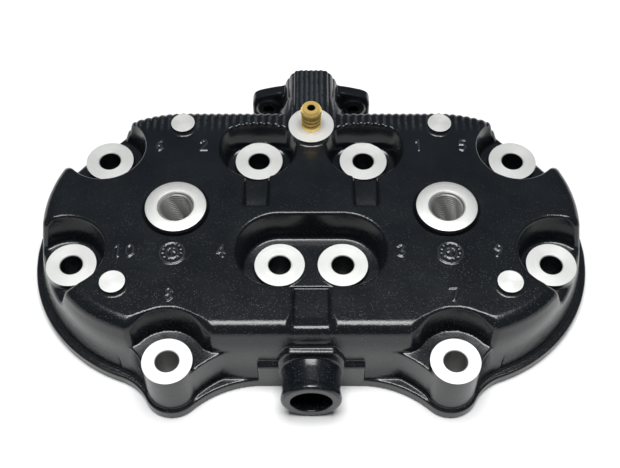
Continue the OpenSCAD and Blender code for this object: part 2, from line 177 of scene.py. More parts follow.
casting = {
    "voxel": 0.45,
    "triangles": 165000,
    "topHeight": 37.5,
    "wallFoot": 60.0,
    "wallTop": 54.6,
    "wallTopHeight": 33.0,
    "frontBulge": 2.7,  # the top of the front wall stands this much further out
    "shoulder": 4.5,
    "flangeRadius": 63.0,
    "flangeHeight": 5.0,
    "flangeEdge": 61.0,
    "flangeFillets": (20.0, 40.0),  # on the outer and inner side of each front bolt's lip
    "lipRadius": 11.5,
    "frontFrom": -20.0,  # the front has its own outline from here
    "columnRadius": 10.15,  # of the posts under the bolt faces
    "columnSpare": 0.7,  # metal that the facing cutter takes off
    "pocketFloor": 23.2,
    "webTop": 24.0,
    "pocketFloorRadius": 15.0,
    "pocketRadius": 17.3,
    "pocketRim": 1.1,
    "pocketCorner": 1.2,  # rounding between a pocket's wall and its floor
    "pocketBack": 46.0,  # the inner back pockets end here, short of the shoulder
    "pocketBackCorner": 5.0,
    "padRadius": 5.0,
    "padHeight": 40.0,
    "pads": [(0.0, 44.0), (21.7, -36.5)],  # from the right cylinder's axis
    "bleedBoss": 19.4,
    "shoulderRib": 3.1,  # pitch of the ribs on the back shoulder
    "humpRib": 2.2,
    "ribDepth": 0.7,
}

marks = {
    "numeralHeight": 5.5,
    "outward": 23.0,  # from a bolt's axis to its numeral
    "relief": 0.4,
    "halfStroke": 0.38,
    "dateMarkY": -21.5,
    "dateMarkRings": (4.9, 2.4),
    "dots": 12,
    "dotRing": 3.65,
    "arrow": 1.6,
}

# each bolt's pocket: its centre from the bolt's axis, and how much narrower it is than the widest
pockets = {
    "outerBack": (0.0, -1.2, 0.2),
    "innerBack": (0.0, -1.4, 0.9),
    "outerSide": (1.4, -0.9, 0.5),
    "innerSide": (0.0, 0.0, 0.0),
    "front": (0.0, 0.0, 0.6),
}

hump = {
    "front": 28.0,
    "sunk": 1.6,  # the front end lies this far below the top
    "half": [(8, 0.5), (12, 8), (14, 17.5), (13.8, 22.5), (12.3, 29), (9.4, 35.2), (6.8, 37.9)],
    "fillet": 13.0,
}

ear = {
    "beyondScrew": 7.5,
    "front": 72.4,
    "bossRadius": 5.2,
    "bossFront": 71.2,
}

channels = {
    "sideHalf": 5.4,
    "sideEnds": (1.6, 21.0),
    "sideDepth": 3.2,
    "middleHalf": 7.3,
    "middleDepth": 2.7,
    "middleRise": 1.7,  # how much shallower it gets over the shoulder
    "draft": 0.3,
}

frontWeb = {"lip": 9.6, "edge": 55.6, "outerFillet": 21.0, "innerFillet": 40.0}

hoseTube = {
    "radius": 11.45,
    "bead": 0.5,
    "waist": 0.35,
    "root": -50.0,
    "collarHalf": [(13, 5), (13, 21.5), (9.4, 27.4)],
    "plinthSide": [(-61, -5), (-48, -5), (-48, 18.4), (-58.4, 17.2), (-61, 15.6)],
    "plinthHalf": 21.0,
}

jacket = {
    "reach": 52.5,
    "roof": 31.5,
    "taperFrom": 9.0,
    "taper": 3.0 / 18.5,
    "wall": 4.5,
    "boltColumn": 9.2,
    "neckWall": 17.5,
    "neckFoot": 27.0,
}


# Signed distances of two shapes joined, overlapped and cut, with a rounding between them
def roundUnion(a, b, radius):
    corner = np.hypot(np.maximum(radius - a, 0), np.maximum(radius - b, 0))
    return np.maximum(radius, np.minimum(a, b)) - corner


def roundBoth(a, b, radius):
    corner = np.hypot(np.maximum(radius + a, 0), np.maximum(radius + b, 0))
    return np.minimum(-radius, np.maximum(a, b)) + corner


def roundCut(a, b, radius):
    return roundBoth(a, -b, radius)


def ease(value, start, end):
    t = np.clip((value - start) / (end - start), 0, 1)
    return t * t * (3 - 2 * t)


# Distance from the racetrack line through both cylinder axes
def fromAxes(x, y):
    return np.hypot(np.maximum(x - axisX, 0), y)


def post(spot, radius, top, draft=0.0):
    return lambda x, y, z: np.maximum(
        np.hypot(x - spot[0], y - spot[1]) - radius - draft * (top - z), z - top)


# Signed distance of a convex outline given anticlockwise
def convex(outline, u, v, rounding):
    field = None
    for (u0, v0), (u1, v1) in zip(outline, outline[1:] + outline[:1]):
        length = math.hypot(u1 - u0, v1 - v0)
        side = ((u - u0) * (v1 - v0) - (v - v0) * (u1 - u0)) / length
        field = side if field is None else roundBoth(field, side, rounding)
    return field


def mirrored(points):
    return [(-u, v) for u, v in reversed(points)]


# Right half of the front of the plan: hollow curve, the bolt's lip, hollow curve, straight front edge
def frontPlan(x, y, endRadius, lipRadius, edge, outerFillet, innerFillet):
    boltX, boltY = frontBolt
    gap = -boltY
    along = ((endRadius + outerFillet) ** 2 - (lipRadius + outerFillet) ** 2 + gap ** 2) / (2 * gap)
    outerX = axisX + np.sqrt((endRadius + outerFillet) ** 2 - along ** 2)
    outerY = -along
    innerY = -edge - innerFillet
    innerX = boltX - np.sqrt((lipRadius + innerFillet) ** 2 - (boltY - innerY) ** 2)
    belowEnd = (outerX - axisX) * y - outerY * (x - axisX) < 0
    aboveLip = (outerX - boltX) * (y - boltY) - (outerY - boltY) * (x - boltX) > 0
    pastFillet = (boltX - innerX) * (y - innerY) - (boltY - innerY) * (x - innerX) > 0
    field = np.hypot(x - boltX, y - boltY) - lipRadius
    outer = outerFillet - np.hypot(x - outerX, y - outerY)
    inner = innerFillet - np.hypot(x - innerX, y - innerY)
    field = np.where((x >= axisX) & belowEnd & aboveLip, np.minimum(field, outer), field)
    near = y < casting["frontFrom"]
    field = np.where((x > innerX) & (x < boltX) & pastFillet & near, np.minimum(field, inner), field)
    return np.where((x <= innerX) & near, np.minimum(field, -edge - y), field)


def wallRadius(z):
    low = casting["flangeHeight"]
    slope = (casting["wallFoot"] - casting["wallTop"]) / (casting["wallTopHeight"] - low)
    return casting["wallFoot"] - slope * (np.maximum(z, low) - low)


# Ribs that run front to back: round crests with narrow valleys
def ribs(x, pitch):
    return casting["ribDepth"] * (1 - np.abs(np.cos(math.pi * x / pitch)) ** 0.8)


digitStrokes = {
    "0": [[(0.5, 0), (0.1, 0.25), (0.1, 0.75), (0.5, 1), (0.9, 0.75), (0.9, 0.25), (0.5, 0)]],
    "1": [[(0.2, 0.78), (0.55, 1), (0.55, 0)]],
    "2": [[(0.08, 0.76), (0.3, 0.97), (0.7, 0.97), (0.9, 0.72), (0.08, 0.02), (0.95, 0.02)]],
    "3": [[(0.08, 0.86), (0.5, 1), (0.88, 0.78), (0.45, 0.54), (0.92, 0.28), (0.5, 0), (0.06, 0.14)]],
    "4": [[(0.72, 0), (0.72, 1), (0.05, 0.3), (0.98, 0.3)]],
    "5": [[(0.88, 0.98), (0.18, 0.98), (0.12, 0.56), (0.6, 0.6), (0.92, 0.3), (0.5, 0), (0.06, 0.12)]],
    "6": [[(0.78, 0.97), (0.25, 0.68), (0.08, 0.28), (0.5, 0), (0.92, 0.28), (0.5, 0.54), (0.14, 0.36)]],
    "7": [[(0.05, 0.98), (0.95, 0.98), (0.42, 0)]],
    "8": [[(0.5, 0.54), (0.12, 0.77), (0.5, 1), (0.88, 0.77), (0.5, 0.54), (0.06, 0.27), (0.5, 0),
           (0.94, 0.27), (0.5, 0.54)]],
    "9": [[(0.22, 0.03), (0.75, 0.32), (0.92, 0.72), (0.5, 1), (0.08, 0.72), (0.5, 0.46), (0.86, 0.64)]],
}


def strokeDistance(x, y, start, end):
    dx, dy = end[0] - start[0], end[1] - start[1]
    t = np.clip(((x - start[0]) * dx + (y - start[1]) * dy) / (dx * dx + dy * dy), 0, 1)
    return np.hypot(x - start[0] - t * dx, y - start[1] - t * dy)


# Lines of the cast marks: tightening numerals beside the bolts and a round date mark before each plug
def markLines(x, y):
    tall = marks["numeralHeight"]
    wide = tall * 0.6
    field = np.full(np.broadcast(x, y).shape, 9.0)
    outward = marks["outward"]

    def write(text, cx, cy):
        nonlocal field
        for i, digit in enumerate(text):
            left = cx + (i - (len(text) - 1) / 2) * wide * 1.45 - wide / 2
            low = cy - tall / 2
            for stroke in digitStrokes[digit]:
                spots = [(left + u * wide, low + v * tall) for u, v in stroke]
                for start, end in zip(spots, spots[1:]):
                    field = np.minimum(field, strokeDistance(x, y, start, end))

    order = [("6", "5"), ("2", "1"), ("10", "9"), ("4", "3")]
    for texts, bolt in zip(order, jacketBolts):
        for side, text in zip((-1, 1), texts):
            toAxis = 1 if bolt[0] < axisX else -1
            write(text, side * (bolt[0] + toAxis * outward), bolt[1] - 0.6)
    for side, text in zip((-1, 1), ("8", "7")):
        write(text, side * axisX, frontBolt[1] + outward)
    for side in (-1, 1):
        cx, cy = side * axisX, marks["dateMarkY"]
        away = np.hypot(x - cx, y - cy)
        for ring in marks["dateMarkRings"]:
            field = np.minimum(field, np.abs(away - ring))
        for k in range(marks["dots"]):
            turn = 2 * math.pi * k / marks["dots"]
            dot = (cx + marks["dotRing"] * math.cos(turn), cy + marks["dotRing"] * math.sin(turn))
            field = np.minimum(field, np.hypot(x - dot[0], y - dot[1]) + 0.05)
        tip = (cx, cy + marks["arrow"])
        for tail in ((cx, cy - marks["arrow"]), (cx - 0.8, cy + 0.6), (cx + 0.8, cy + 0.6)):
            field = np.minimum(field, strokeDistance(x, y, tip, tail))
    return field


def castField():
    voxel = casting["voxel"]
    top = casting["topHeight"]
    axes = [
        np.arange(0, castHigh[0] + 3 * voxel, voxel, dtype=np.float32),
        np.arange(castLow[1] - 3 * voxel, castHigh[1] + 4 * voxel, voxel, dtype=np.float32),
        np.arange(-3 * voxel, casting["padHeight"] + 4 * voxel, voxel, dtype=np.float32),
    ]
    x = axes[0][:, None, None]
    y = axes[1][None, :, None]
    z = axes[2][None, None, :]
    everywhere = ((-9, axes[0][-1] + 9), (castLow[1] - 9, castHigh[1] + 9), (-9, 60))

    # wall and top
    bulge = casting["frontBulge"] * ease(-y, 18, 50) * ease(z, 8, 30)
    wall = fromAxes(x, y) - wallRadius(z) - bulge
    field = roundBoth(wall, z - top, casting["shoulder"]).astype(np.float32)

    def work(how, shape, radius, span=everywhere):
        part = tuple(
            slice(int(np.searchsorted(axis, low)), int(np.searchsorted(axis, high)))
            for axis, (low, high) in zip(axes, span)
        )
        local = (x[part[0]], y[:, part[1]], z[:, :, part[2]])
        amount = radius(*local) if callable(radius) else radius
        field[part] = how(field[part], shape(*local), amount)

    def around(spot, reach, low=-9, high=60):
        return ((spot[0] - reach, spot[0] + reach), (spot[1] - reach, spot[1] + reach), (low, high))

    # ribs down the back shoulder, ending in round noses
    backRibs = ease(y, 41.5, 46.5) * (1 - ease(x, 79, 84))
    field += backRibs * ribs(x, casting["shoulderRib"]) * ease(z, 8, 14)

    # hump over the thermostat housing, with finer ribs
    def humpShape(x, y, z):
        sunk = hump["sunk"] * (1 - ease(y, 44, 60))
        section = convex(hump["half"] + mirrored(hump["half"]), x, z + sunk, 1.6)
        finish = ribs(x, casting["humpRib"]) * ease(y, 45, 51) * ease(z, 14, 22)
        return np.maximum(np.maximum(section, y - castHigh[1] - 0.6), hump["front"] - y) + 0.8 * finish

    def humpFillet(x, y, z):
        size = np.clip((top + 1.5 - z) * 2.2, 0.7, hump["fillet"]) * (1 - 0.92 * ease(y, 64, 70))
        return size * ease(y, 42, 52) + 0.1 + 0 * x

    work(roundUnion, humpShape, humpFillet, ((-9, 50), (26, 90), (-9, 60)))

    # ears for the cover screws
    end = coverScrewX + ear["beyondScrew"]
    earHalf = [(12, 6.8), (end - 3, 8), (end, 11), (end, 22), (end - 1.8, 24.6), (12, 28.4)]

    def earShape(x, y, z):
        plate = convex(earHalf + mirrored(earHalf), x, z, 1.8)
        plate = roundBoth(roundBoth(plate, y - castHigh[1] - 0.9, 0.3), ear["front"] - y, 1.2)
        boss = np.hypot(x - coverScrewX, z - coverScrewHeight) - ear["bossRadius"]
        boss = np.maximum(roundBoth(boss, ear["bossFront"] - y, 0.6), y - ear["front"] - 1.6)
        return roundUnion(plate, boss, 1.2)

    work(roundUnion, earShape, 1.6, ((-9, 45), (60, 90), (-9, 50)))

    # pockets round the bolts, and the shallow channels in front of them
    floor = casting["pocketFloor"]
    growth = (casting["pocketRadius"] - casting["pocketFloorRadius"]) / (top - floor)

    def pocket(distance, z, narrower):
        side = distance - casting["pocketFloorRadius"] + narrower - growth * (z - floor)
        return roundBoth(side, floor - z, casting["pocketCorner"])

    def allPockets(x, y, z):
        backWall = y - casting["pocketBack"] - 0.1 * (z - top)
        hollow = None
        for (name, (dx, dy, narrower)), bolt in zip(pockets.items(), jacketBolts + [frontBolt]):
            across = x - bolt[0] - dx
            if name == "innerSide":  # one pocket holds the inner side bolts of both halves
                across = np.maximum(across, 0)
            one = pocket(np.hypot(across, y - bolt[1] - dy), z, narrower)
            if name == "innerBack":
                one = roundBoth(one, backWall, casting["pocketBackCorner"])
            hollow = one if hollow is None else np.minimum(hollow, one)
        slope = channels["draft"] * (z - top)
        channelFloor = top - channels["sideDepth"] + 0.04 * (y - 8) - 0.006 * np.maximum(12 - y, 0) ** 2
        lane = np.abs(x - jacketBolts[1][0]) - channels["sideHalf"] - slope
        front, back = channels["sideEnds"]
        endWall = np.maximum(front - y + 0.5 * (top - z), y - back)
        side = roundBoth(roundBoth(lane, channelFloor - z, 0.5), endWall, 0.9)
        hollow = roundUnion(hollow, side, 0.5)
        # the middle channel gets shallower as it runs out over the front shoulder
        bend = casting["shoulder"]
        run = np.clip(-y - casting["wallTop"] - casting["frontBulge"] + bend, 0, bend)
        shoulderTop = top - bend + np.sqrt(bend ** 2 - run ** 2)
        frontFloor = shoulderTop - channels["middleDepth"] + channels["middleRise"] * ease(-y, 49.5, 55.5)
        lane = np.abs(x) - channels["middleHalf"] - slope
        middle = roundBoth(roundBoth(lane, frontFloor - z, 0.5), np.abs(y + 48) - 14, 0.5)
        return roundUnion(hollow, middle, 0.5)

    # the rim of a pocket is rounder where it runs out through the shoulder
    def rimRadius(x, y, z):
        return casting["pocketRim"] + 2.2 * ease(fromAxes(x, y), 48.5, 53.5) + 0 * z

    work(roundCut, allPockets, rimRadius, (everywhere[0], everywhere[1], (floor - 4, 60)))

    # web and column of the front bolt
    def webShape(x, y, z):
        plan = frontPlan(x, y, wallRadius(z) + 0.3, *frontWeb.values())
        return roundBoth(plan, z - casting["webTop"], 0.7)

    def webFillet(x, y, z):
        away = np.hypot(x - frontBolt[0], y - frontBolt[1])
        return np.clip((away - 16.0) * 0.4, 0.05, 0.8) + 0 * z

    work(roundUnion, webShape, webFillet, (everywhere[0], (-80, 0), (-9, floor + 3)))
    faceTop = boltFace + casting["columnSpare"]
    columnRadius = casting["columnRadius"]
    work(roundUnion, post(frontBolt, columnRadius - 0.4, faceTop, 0.015), 0.4, around(frontBolt, 16))
    for bolt in jacketBolts:
        work(roundUnion, post(bolt, columnRadius, faceTop, 0.02), 0.8, around(bolt, 16, floor - 9))
    inner = jacketBolts[3]

    def platformShape(x, y, z):
        away = np.hypot(np.maximum(x - inner[0], 0), y - inner[1])
        return np.maximum(away - columnRadius + 0.2, z - boltFace + 0.7)

    work(roundUnion, platformShape, 0.6, ((-9, 30), (inner[1] - 14, inner[1] + 14), (floor - 9, 60)))

    # flange at the foot
    def flangeShape(x, y, z):
        radius, edge = casting["flangeRadius"], casting["flangeEdge"]
        front = frontPlan(x, y, radius, casting["lipRadius"], edge, *casting["flangeFillets"])
        rounded = np.minimum(fromAxes(x, y) - radius, front)
        plan = np.where((x < axisX) & (y < casting["frontFrom"]), front, rounded)
        return roundBoth(plan, z - casting["flangeHeight"], 0.8)

    work(roundUnion, flangeShape, 0.8, (everywhere[0], everywhere[1], (-9, 9)))

    # machining pads and the boss under the bleed nipple, left tall for the cutter
    for dx, dy in casting["pads"]:
        spot = (axisX + dx, dy)
        pad = post(spot, casting["padRadius"], casting["padHeight"] + 0.6, 0.02)
        work(roundUnion, pad, 0.9, around(spot, 12, 28))
    bleedSpot = (0, bleedPlace[1])
    boss = post(bleedSpot, casting["bleedBoss"] / 2, bleedTop + 0.6, 0.06)
    work(roundUnion, boss, 1.1, around(bleedSpot, 20, 28))

    # coolant tube at the front with its collar and the plinth under it
    root = hoseTube["root"]

    def collarShape(x, y, z):
        section = convex(hoseTube["collarHalf"] + mirrored(hoseTube["collarHalf"]), x, z, 1.4)
        return roundBoth(roundBoth(section, -casting["flangeEdge"] - y, 0.9), y - root, 0.5)

    def plinthShape(x, y, z):
        return roundBoth(convex(hoseTube["plinthSide"], y, z, 0.6), x - hoseTube["plinthHalf"], 0.5)

    # faces that lie in one plane keep it: the fillets only start above them
    def filletAbove(low, size):
        return lambda x, y, z: 0.02 + size * ease(z, low, low + 2) + 0 * x + 0 * y

    def tubeShape(x, y, z):
        bead = hoseTube["bead"] * (1 - ease(y, tubeTip + 2.2, tubeTip + 3.6))
        waist = hoseTube["waist"] * ease(y, tubeTip + 9.5, tubeTip + 13)
        skin = np.hypot(x, z - portHeight) - hoseTube["radius"] - bead - waist
        return roundBoth(roundBoth(skin, tubeTip - y, 1.3), y - root, 0.5)

    overFlange = filletAbove(casting["flangeHeight"], 0.7)
    work(roundUnion, plinthShape, overFlange, ((-9, 30), (-70, -44), (-9, 24)))
    work(roundUnion, collarShape, filletAbove(16.5, 0.8), ((-9, 24), (-70, -44), (-9, 36)))
    work(roundUnion, tubeShape, 1.1, ((-9, 20), (-80, -44), (-9, 30)))

    # water jacket, open to the deck
    def jacketShape(x, y, z):
        roof = jacket["roof"]
        reach = jacket["reach"] - np.maximum(z - jacket["taperFrom"], 0) * jacket["taper"]
        hollow = roundBoth(fromAxes(x, y) - reach, z - roof, 4.0)
        keep = np.maximum(np.hypot(x - axisX, y) - jacket["neckWall"], jacket["neckFoot"] - z)
        pocketWall = casting["pocketRadius"] + jacket["wall"]
        pocketFoot = floor - jacket["wall"] - z
        for bolt in jacketBolts:
            away = np.hypot(x - bolt[0], y - bolt[1])
            keep = np.minimum(keep, away - jacket["boltColumn"])
            keep = roundUnion(keep, np.maximum(away - pocketWall, pocketFoot), 1.5)
        away = np.hypot(np.maximum(x - inner[0], 0), y - inner[1])
        keep = roundUnion(keep, np.maximum(away - pocketWall, pocketFoot), 1.5)
        away = np.hypot(x - frontBolt[0], y - frontBolt[1])
        keep = roundUnion(keep, np.maximum(away - pocketWall + 0.8, pocketFoot), 1.5)
        boss = np.maximum(np.hypot(x, y - bleedPlace[1]) - casting["bleedBoss"] / 2, roof - 3.5 - z)
        keep = roundUnion(keep, boss, 1.0)
        return roundCut(hollow, keep, 1.5)

    work(roundCut, jacketShape, 0.4, (everywhere[0], (-60, 60), (-9, 36)))

    # both halves, then the cast marks, which aren't mirrored
    full = np.concatenate([field[:0:-1], field], 0)
    wide = np.concatenate([-axes[0][:0:-1], axes[0]])
    layer = slice(int(np.searchsorted(axes[2], top - 2)), len(axes[2]))
    lines = markLines(wide[:, None], axes[1][None, :])[:, :, None]
    relief = roundBoth(lines - marks["halfStroke"], z[:, :, layer] - top - marks["relief"], 0.2)
    full[:, :, layer] = roundUnion(full[:, :, layer], relief, 0.25)
    full = np.maximum(full, -z)
    return full.astype(np.float32), (wide[0], axes[1][0], axes[2][0])


def meshFromField(name, field, corner, voxel):
    limit = 3 * voxel
    grid = openvdb.FloatGrid(background=limit)
    grid.copyFromArray(np.clip(field, -limit, limit))
    grid.transform = openvdb.createLinearTransform(voxelSize=voxel)
    points, triangles, quads = grid.convertToPolygons(0.0, 0.0)
    points = (points + np.array(corner)) * mm
    mesh = bpy.data.meshes.new(name)
    loops = np.concatenate([triangles.ravel(), quads.ravel()]).astype(np.int32)
    sizes = np.concatenate([np.full(len(triangles), 3), np.full(len(quads), 4)])
    mesh.vertices.add(len(points))
    mesh.vertices.foreach_set("co", points.astype(np.float32).ravel())
    mesh.loops.add(len(loops))
    mesh.loops.foreach_set("vertex_index", loops)
    mesh.polygons.add(len(sizes))
    starts = np.concatenate([[0], np.cumsum(sizes)[:-1]])
    mesh.polygons.foreach_set("loop_start", starts.astype(np.int32))
    mesh.update(calc_edges=True)
    mesh.validate()
    thing = bpy.data.objects.new(name, mesh)
    bpy.context.scene.collection.objects.link(thing)
    return thing


def facesOutwards(thing):
    mesh = thing.data
    mesh.calc_loop_triangles()
    corners = np.zeros(len(mesh.loop_triangles) * 3, np.int32)
    mesh.loop_triangles.foreach_get("vertices", corners)
    points = np.zeros(len(mesh.vertices) * 3, np.float32)
    mesh.vertices.foreach_get("co", points)
    p = points.reshape(-1, 3).astype(np.float64)[corners.reshape(-1, 3)]
    volume = np.einsum("ij,ij->i", p[:, 0], np.cross(p[:, 1], p[:, 2])).sum()
    if volume < 0:
        mesh.flip_normals()
    return abs(volume) / 6


machining = {
    "faceRadius": 10.25,  # of the bolt faces
    "faceBevel": 0.35,
    "over": 1.6,  # how far a cutter reaches past the surface that it faces
    "ringGroove": (5.0, 7.3, 1.6),  # inner radius, outer radius and depth, round each bolt hole
    "deckGroove": (55.4, 58.6, 2.2),
    "neckBore": 12.95,
    "neckMouth": 14.4,
    "neckFoot": 25.0,
    "bleedBore": 4.02,
    "bleedFoot": 26.5,
    "bleedFace": 11.5,
    "port": 7.9,
    "portMouth": 9.0,
    "portEnd": -45.0,
    "housingBore": 11.8,
    "housingFoot": 43.5,
    "plateRecess": (14.0, 3.2),  # radius and depth
    "screwHole": 2.5,
    "screwDepth": 14.6,
    "skin": 0.05,  # left over the cover screw holes
}


# Every tool that machines the raw casting, as closed shapes
def cuttingTools():
    tools = Stock()
    steps = 64
    over = machining["over"]
    hole, face, bevel = boltHoleRadius, machining["faceRadius"], machining["faceBevel"]
    boltTool = [(0, -2), (hole, -2), (hole, boltFace - bevel), (hole + bevel, boltFace),
                (face, boltFace), (face, boltFace + over), (0, boltFace + over)]
    inner, outer, deep = machining["ringGroove"]
    ringTool = [(inner, -1), (outer, -1), (outer, deep), (inner, deep)]
    pad, reach = casting["padHeight"], casting["padRadius"] + 2
    padTool = [(0, pad), (reach, pad), (reach, pad + over), (0, pad + over)]
    top = casting["topHeight"]
    bore, mouth = machining["neckBore"], machining["neckMouth"]
    neckTool = [(0, machining["neckFoot"]), (bore, machining["neckFoot"]), (bore, top - 0.9),
                (mouth, top + 0.55), (mouth, top + 4), (0, top + 4)]
    for side in (-1, 1):
        for bolt in jacketBolts + [frontBolt]:
            tools.put(*turnedMesh(boltTool, steps), (side * bolt[0], bolt[1], 0))
        for bolt in jacketBolts:
            tools.put(*turnedMesh(ringTool, steps, closed=True), (side * bolt[0], bolt[1], 0))
        for dx, dy in casting["pads"]:
            tools.put(*turnedMesh(padTool, steps), (side * (axisX + dx), dy, 0))
        tools.put(*turnedMesh(neckTool, 128), (side * axisX, 0, 0))
    bore, foot, face = machining["bleedBore"], machining["bleedFoot"], machining["bleedFace"]
    bleedTool = [(0, foot), (bore, foot), (bore, bleedTop), (face, bleedTop),
                 (face, bleedTop + over), (0, bleedTop + over)]
    tools.put(*turnedMesh(bleedTool, steps), (0, bleedPlace[1], 0))

    # bores from the front and the back
    port, mouth, end = machining["port"], machining["portMouth"], machining["portEnd"]
    portTool = [(0, tubeTip - 1), (mouth, tubeTip - 1), (port, tubeTip + 0.7), (port, end), (0, end)]
    tools.put(*turnedAlongY(portTool, 96), (0, 0, portHeight))
    face = castHigh[1]
    bore, foot = machining["housingBore"], machining["housingFoot"]
    recess, deep = machining["plateRecess"]
    housingTool = [(0, foot), (bore, foot), (bore, face - deep), (recess, face - deep), (recess, face),
                   (42, face), (42, face + 2.4), (0, face + 2.4)]
    tools.put(*turnedAlongY(housingTool, 96), (0, 0, housingHeight))
    hole, deep, skin = machining["screwHole"], machining["screwDepth"], machining["skin"]
    screwTool = [(0, face - deep - 1.4), (hole, face - deep), (hole, face - 0.5),
                 (hole + 0.45, face - skin), (0, face - skin)]
    for side in (-1, 1):
        tools.put(*turnedAlongY(screwTool, 48), (side * coverScrewX, 0, coverScrewHeight))

    # groove of the deck seal
    bends = np.linspace(-math.pi / 2, math.pi / 2, 49)
    line = [(side * axisX, side * math.cos(a), side * math.sin(a)) for side in (1, -1) for a in bends]
    inner, outer, deep = machining["deckGroove"]
    points = []
    for cx, nx, ny in line:
        for radius, height in ((inner, -1), (outer, -1), (outer, deep), (inner, deep)):
            points.append((cx + radius * nx, radius * ny, height))
    count = len(line)
    faces = []
    for i in range(count):
        j = (i + 1) % count
        for k in range(4):
            n = (k + 1) % 4
            faces.append((4 * i + k, 4 * j + k, 4 * j + n, 4 * i + n))
    tools.put(points, faces)
    return tools.build("cutting_tools")


def buildCasting():
    field, corner = castField()
    print("cast cover: field", field.shape)
    cover = meshFromField("cast_cover", field, corner, casting["voxel"])
    facesOutwards(cover)
    triangles = sum(len(p.vertices) - 2 for p in cover.data.polygons)
    print("cast cover: raw triangles", triangles)
    thin = cover.modifiers.new("fewer faces", "DECIMATE")
    thin.ratio = min(1.0, casting["triangles"] / triangles)
    thin.use_collapse_triangulate = True
    applyModifiers(cover)
    tools = cuttingTools()
    facesOutwards(tools)
    cutAway(cover, tools)
    litres = facesOutwards(cover) * 1000
    print("cast cover: faces", len(cover.data.polygons), "litres", round(litres, 4))
    return cover


# Material and turning marks by place: machined faces and bores are bare, the rest is coated
def markMachining(cover):
    mesh = cover.data
    count = len(mesh.polygons)
    centre = np.zeros(count * 3, np.float32)
    normal = np.zeros(count * 3, np.float32)
    mesh.polygons.foreach_get("center", centre)
    mesh.polygons.foreach_get("normal", normal)
    centre = centre.reshape(-1, 3) / mm
    normal = normal.reshape(-1, 3)
    bare = np.zeros(count, bool)
    flat = normal[:, 2] > 0.99
    allBolts = [(s * b[0], b[1]) for s in (-1, 1) for b in jacketBolts + [frontBolt]]
    level = centre[:, 2]
    for bx, by in allBolts:
        away = np.hypot(centre[:, 0] - bx, centre[:, 1] - by)
        bare |= (away < machining["faceRadius"]) & (np.abs(level - boltFace) < 0.05) & flat
        bare |= (away < boltHoleRadius + 0.4) & (level > boltFace - 0.5) & (level < boltFace + 0.1)
        if by == frontBolt[1]:
            bare |= (away < boltHoleRadius + 0.3) & (level < boltFace)
    pads = [(s * (axisX + dx), dy, casting["padHeight"]) for s in (-1, 1) for dx, dy in casting["pads"]]
    for px, py, height in pads + [(0, bleedPlace[1], bleedTop)]:
        away = np.hypot(centre[:, 0] - px, centre[:, 1] - py)
        bare |= (away < 11) & (np.abs(level - height) < 0.05) & flat
    bare |= centre[:, 1] > castHigh[1] - 0.1
    housing = np.hypot(centre[:, 0], level - housingHeight)
    recess, deep = machining["plateRecess"]
    bare |= (housing < recess + 0.1) & (centre[:, 1] > castHigh[1] - deep - 0.2)
    bare |= np.abs(level) < 0.02  # the deck
    for side in (-1, 1):
        away = np.hypot(centre[:, 0] - side * axisX, centre[:, 1])
        bare |= (away < machining["neckMouth"] + 0.1) & (level > 26) & (np.abs(normal[:, 2]) < 0.5)
    mesh.polygons.foreach_set("material_index", bare.astype(np.int32))

    points = np.zeros(len(mesh.vertices) * 3, np.float32)
    mesh.vertices.foreach_get("co", points)
    points = points.reshape(-1, 3) / mm
    spots = allBolts + [(px, py) for px, py, _ in pads] + [(0, bleedPlace[1])]
    away = np.min([np.hypot(points[:, 0] - sx, points[:, 1] - sy) for sx, sy in spots], 0)
    mark = mesh.attributes.new("turned", "FLOAT", "POINT")
    mark.data.foreach_set("value", away.astype(np.float32))
    # painted shade inside the holes, below the bolt faces
    inside = (away < boltHoleRadius + 0.2) & (points[:, 2] < boltFace - 0.2)
    mark = mesh.attributes.new("inside", "FLOAT", "POINT")
    mark.data.foreach_set("value", inside.astype(np.float32))


class Wire:
    # an output socket that can be used in sums
    def __init__(self, socket):
        self.socket = socket

    def maths(self, operation, *values):
        tree = self.socket.id_data
        node = tree.nodes.new("ShaderNodeMath")
        node.operation = operation
        for slot, value in zip(node.inputs, values):
            if isinstance(value, Wire):
                tree.links.new(value.socket, slot)
            else:
                slot.default_value = value
        return Wire(node.outputs[0])

    def __add__(self, other):
        return self.maths("ADD", self, other)

    def __sub__(self, other):
        return self.maths("SUBTRACT", self, other)

    def __mul__(self, other):
        return self.maths("MULTIPLY", self, other)

    def __rsub__(self, other):
        return self.maths("SUBTRACT", other, self)

    __radd__ = __add__
    __rmul__ = __mul__

    def clamp(self):
        return self.maths("MINIMUM", self.maths("MAXIMUM", self, 0.0), 1.0)


